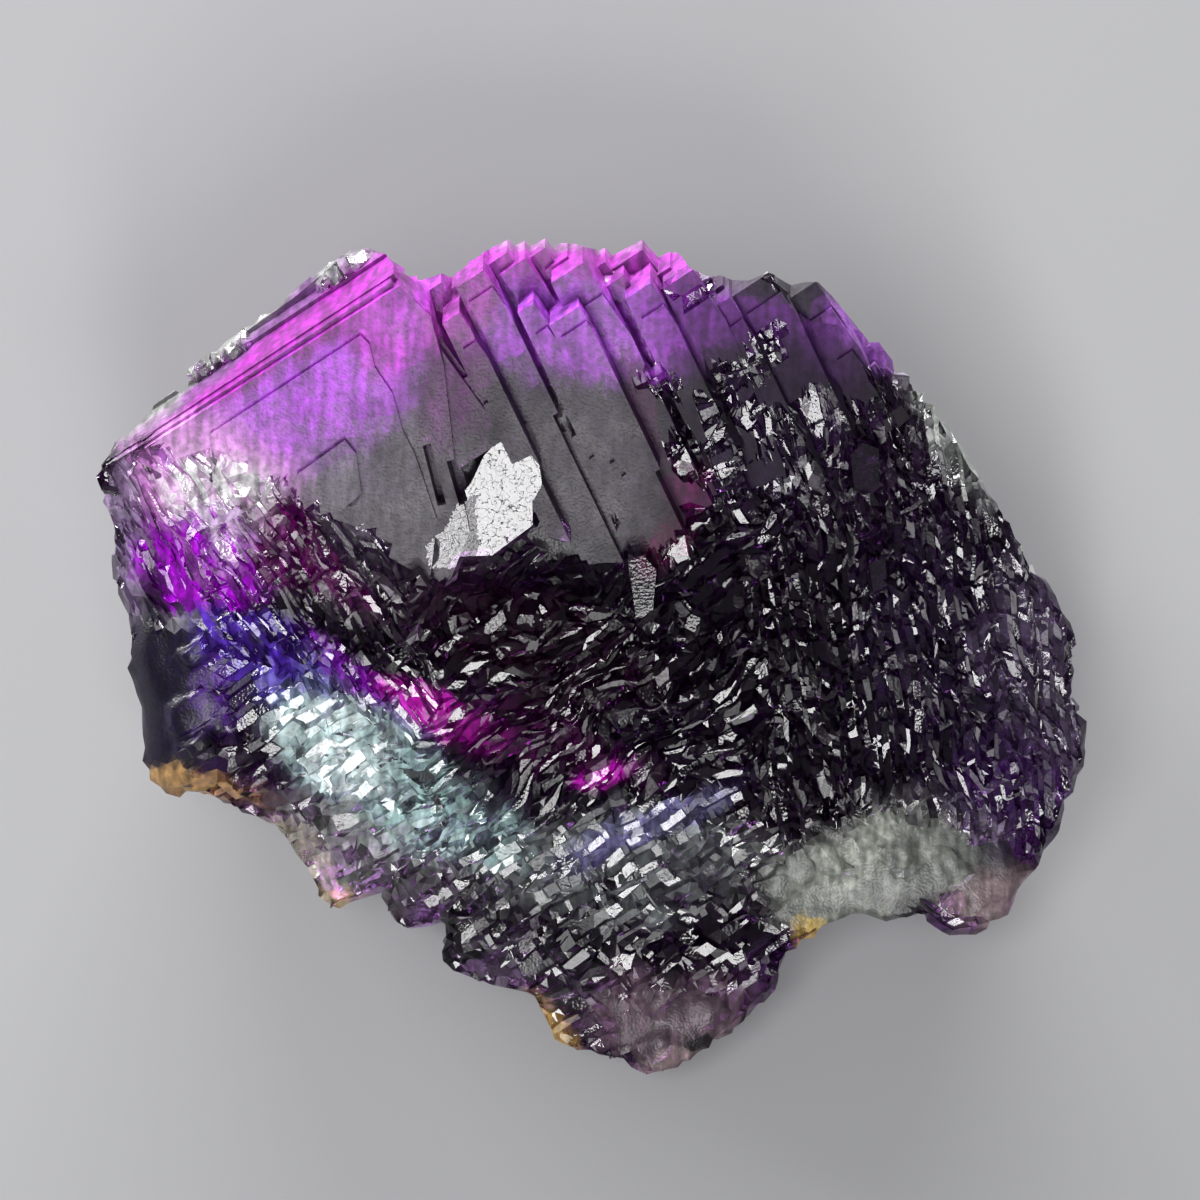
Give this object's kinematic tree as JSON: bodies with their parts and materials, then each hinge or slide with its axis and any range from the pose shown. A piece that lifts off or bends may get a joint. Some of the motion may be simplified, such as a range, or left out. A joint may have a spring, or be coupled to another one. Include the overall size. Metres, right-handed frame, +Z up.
{
  "type": "fluorite specimen",
  "caption": "Purple fluorite crystal cluster: stepped cube faces and ridges above an etched mosaic, a cleaved back and a flat base to rest on.",
  "frame": {"origin": "bottom centre of the bounding box, on the flat base", "axes": "+X along the longest extent, across the specimen; +Y away from the foot's tip, towards the top row of crystals; +Z up, out of the base"},
  "size_m": [0.079, 0.0636, 0.0348],
  "materials": {
    "fluorite": "translucent purple crystal, bright at its thin edges and near black in the middle, satin growth faces above and glittering etched facets below"
  },
  "bodies": {
    "root": {"fluorite": "fluorite"}
  },
  "joints": []
}
